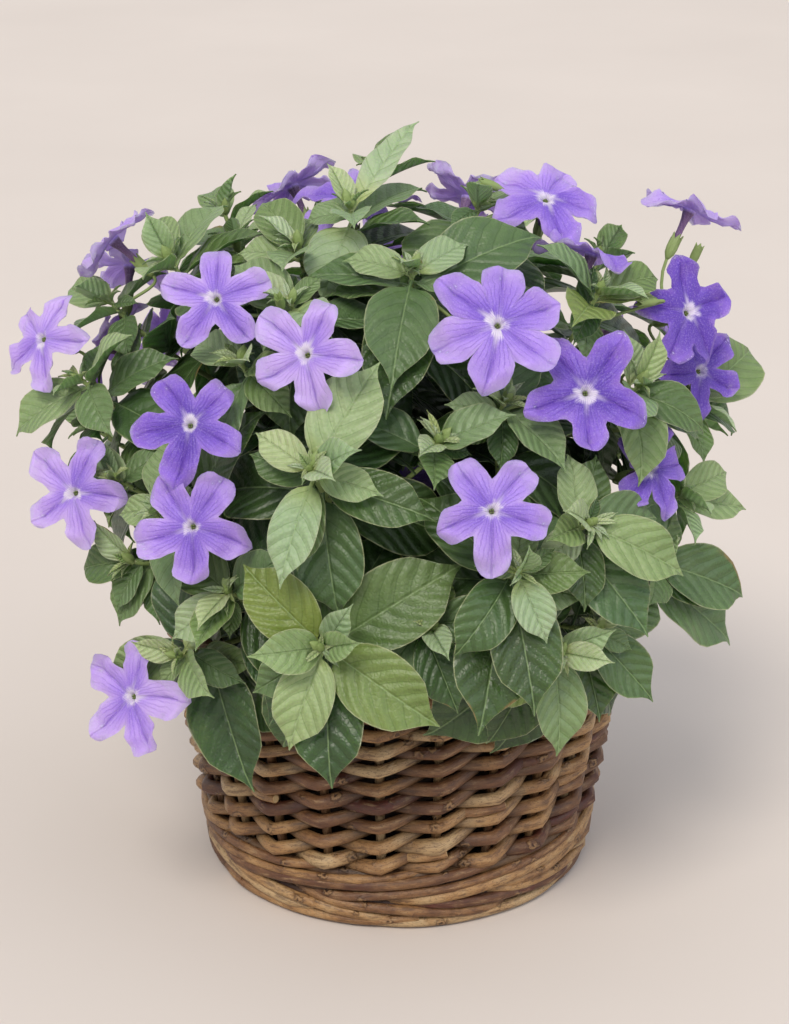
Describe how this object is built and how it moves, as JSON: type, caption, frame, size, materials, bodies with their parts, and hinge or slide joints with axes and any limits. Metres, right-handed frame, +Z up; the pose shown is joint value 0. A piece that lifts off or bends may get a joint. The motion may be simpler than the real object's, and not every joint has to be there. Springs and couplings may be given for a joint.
{
  "type": "potted bush violet",
  "caption": "Bush violet plant in full flower, with leafy stems and flat five-petalled violet blooms, growing from compost in a round pot inside a tapered willow basket.",
  "frame": {"origin": "centre of the basket base's flat underside, on the surface it stands on", "axes": "+Z up along the basket's axis; -Y towards the viewer of the picture; +X to that viewer's right"},
  "size_m": [0.3497, 0.3319, 0.3544],
  "materials": {
    "wicker": "unpeeled willow rods, dry and matt, brown with grey and tan mottling",
    "wicker_dark": "willow stakes and base, dry and matt",
    "pot_brown": "plain dark brown grow pot",
    "compost": "moist peaty potting compost, crumbly",
    "leaf_green": "leaf and stem tissue, soft and slightly glossy",
    "petal_violet": "petal tissue, satin"
  },
  "bodies": {
    "root": {"basket_frame": "wicker_dark", "basket_foot": "wicker", "basket_weave": "wicker", "basket_rim": "wicker", "grow_pot": "pot_brown", "compost": "compost", "leafy_stem_01": "leaf_green", "leafy_stem_02": "leaf_green", "leafy_stem_03": "leaf_green", "leafy_stem_04": "leaf_green", "leafy_stem_05": "leaf_green", "leafy_stem_06": "leaf_green", "leafy_stem_07": "leaf_green", "leafy_stem_08": "leaf_green", "leafy_stem_09": "leaf_green", "leafy_stem_10": "leaf_green", "leafy_stem_11": "leaf_green", "leafy_stem_12": "leaf_green", "leafy_stem_13": "leaf_green", "leafy_stem_14": "leaf_green", "leafy_stem_15": "leaf_green", "leafy_stem_16": "leaf_green", "leafy_stem_17": "leaf_green", "leafy_stem_18": "leaf_green", "leafy_stem_19": "leaf_green", "leafy_stem_20": "leaf_green", "leafy_stem_21": "leaf_green", "leafy_stem_22": "leaf_green", "leafy_stem_23": "leaf_green", "leafy_stem_24": "leaf_green", "bloom_01": "petal_violet", "bloom_02": "petal_violet", "bloom_03": "petal_violet", "bloom_04": "petal_violet", "bloom_05": "petal_violet", "bloom_06": "petal_violet", "bloom_07": "petal_violet", "bloom_08": "petal_violet", "bloom_09": "petal_violet", "bloom_10": "petal_violet", "bloom_11": "petal_violet", "bloom_12": "petal_violet", "bloom_13": "petal_violet", "bloom_14": "petal_violet", "bloom_15": "petal_violet", "bloom_16": "petal_violet", "bloom_17": "petal_violet", "bloom_18": "petal_violet", "bloom_19": "petal_violet", "bloom_20": "petal_violet", "bloom_21": "petal_violet", "bloom_22": "petal_violet", "bloom_23": "petal_violet", "bloom_24": "petal_violet", "bloom_25": "petal_violet", "bloom_26": "petal_violet", "bloom_27": "petal_violet", "bloom_28": "petal_violet", "bloom_29": "petal_violet"}
  },
  "joints": []
}
